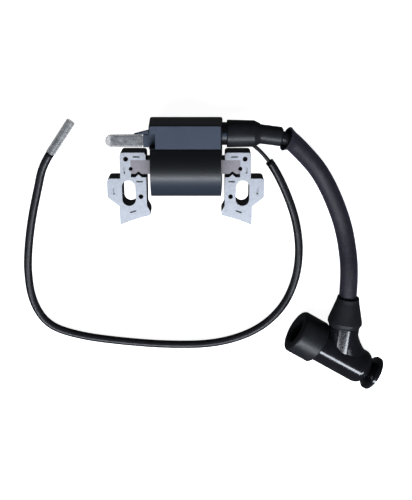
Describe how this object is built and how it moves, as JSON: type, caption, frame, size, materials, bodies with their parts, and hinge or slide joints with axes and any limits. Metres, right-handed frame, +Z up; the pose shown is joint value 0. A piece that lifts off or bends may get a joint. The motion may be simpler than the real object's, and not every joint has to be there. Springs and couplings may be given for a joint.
{
  "type": "ignition coil",
  "caption": "Transistorised flywheel ignition coil for a small engine: laminated core with slotted legs, potted coil case, sleeved high-tension lead with a plug cap, and a stop wire.",
  "frame": {"origin": "on the surface the coil lies on, under the middle of the box round the coil and its core, cords and cap left out", "axes": "+X along the core bar towards the high-tension outlet, +Y from the pole faces towards the coil box, +Z up from the surface, out of the coil's front"},
  "size_m": [0.2118, 0.1623, 0.034],
  "materials": {
    "core_steel": "stamped silicon steel, zinc-bright, fine brushed grain",
    "bar_steel": "stamped silicon steel, darker, lacquered",
    "case_plastic": "black glass-filled nylon, satin",
    "resin": "black potting epoxy, smooth",
    "bobbin_nylon": "natural nylon",
    "copper": "enamelled copper wire, layer wound",
    "board_laminate": "fibreglass laminate",
    "chip_epoxy": "moulded epoxy",
    "tinned_brass": "tin plated brass",
    "clear_vinyl": "clear soft vinyl",
    "boot_rubber": "black moulded rubber, dull",
    "lead_jacket": "black silicone lead jacket",
    "braid": "black varnished braided glass sleeving with a faint violet sheen",
    "wire_jacket": "black vinyl insulation",
    "wire_tube": "black vinyl tube, soft gloss",
    "cap_phenolic": "black phenolic, polished",
    "ceramic": "glazed ceramic body"
  },
  "bodies": {
    "coil": {"left_leg_laminations": "core_steel", "right_leg_laminations": "core_steel", "core_bar_laminations": "bar_steel", "coil_case": "case_plastic", "potting_resin": "resin", "primary_bobbin": "bobbin_nylon", "primary_winding": "copper", "secondary_bobbin": "bobbin_nylon", "secondary_winding": "copper", "circuit_board": "board_laminate", "power_transistor": "chip_epoxy", "trigger_capacitor": "chip_epoxy", "bias_resistors": "chip_epoxy", "ht_spike": "tinned_brass", "stop_terminal_blade": "tinned_brass", "ht_boot": "boot_rubber", "ht_lead": "lead_jacket", "braided_sleeve": "braid", "stop_wire": "wire_jacket", "stop_wire_tube": "wire_tube", "bullet_terminal": "tinned_brass"},
    "plug_cap": {"cap_body": "cap_phenolic", "plug_boot": "boot_rubber", "neck_seal": "boot_rubber", "pull_knob": "cap_phenolic", "plug_clip": "tinned_brass", "contact_spring": "tinned_brass", "suppressor_resistor": "ceramic", "lead_screw": "tinned_brass"},
    "stop_cover": {"stop_terminal_cover": "clear_vinyl"},
    "bullet_sheath": {"bullet_terminal_cover": "clear_vinyl"}
  },
  "joints": [
    {"name": "cap_swivel", "type": "hinge", "parent": "coil", "child": "plug_cap", "pos_m": [0.09186, -0.0931, 0.0128], "axis": [0.0765, 0.9971, 0], "range_deg": [-90, 90]},
    {"name": "stop_cover_pull", "type": "slide", "parent": "coil", "child": "stop_cover", "axis": [-1, 0, 0], "range_m": [0, 0.02]},
    {"name": "bullet_sheath_pull", "type": "slide", "parent": "coil", "child": "bullet_sheath", "axis": [0.5751, 0.8181, 0], "range_m": [0, 0.02]}
  ]
}
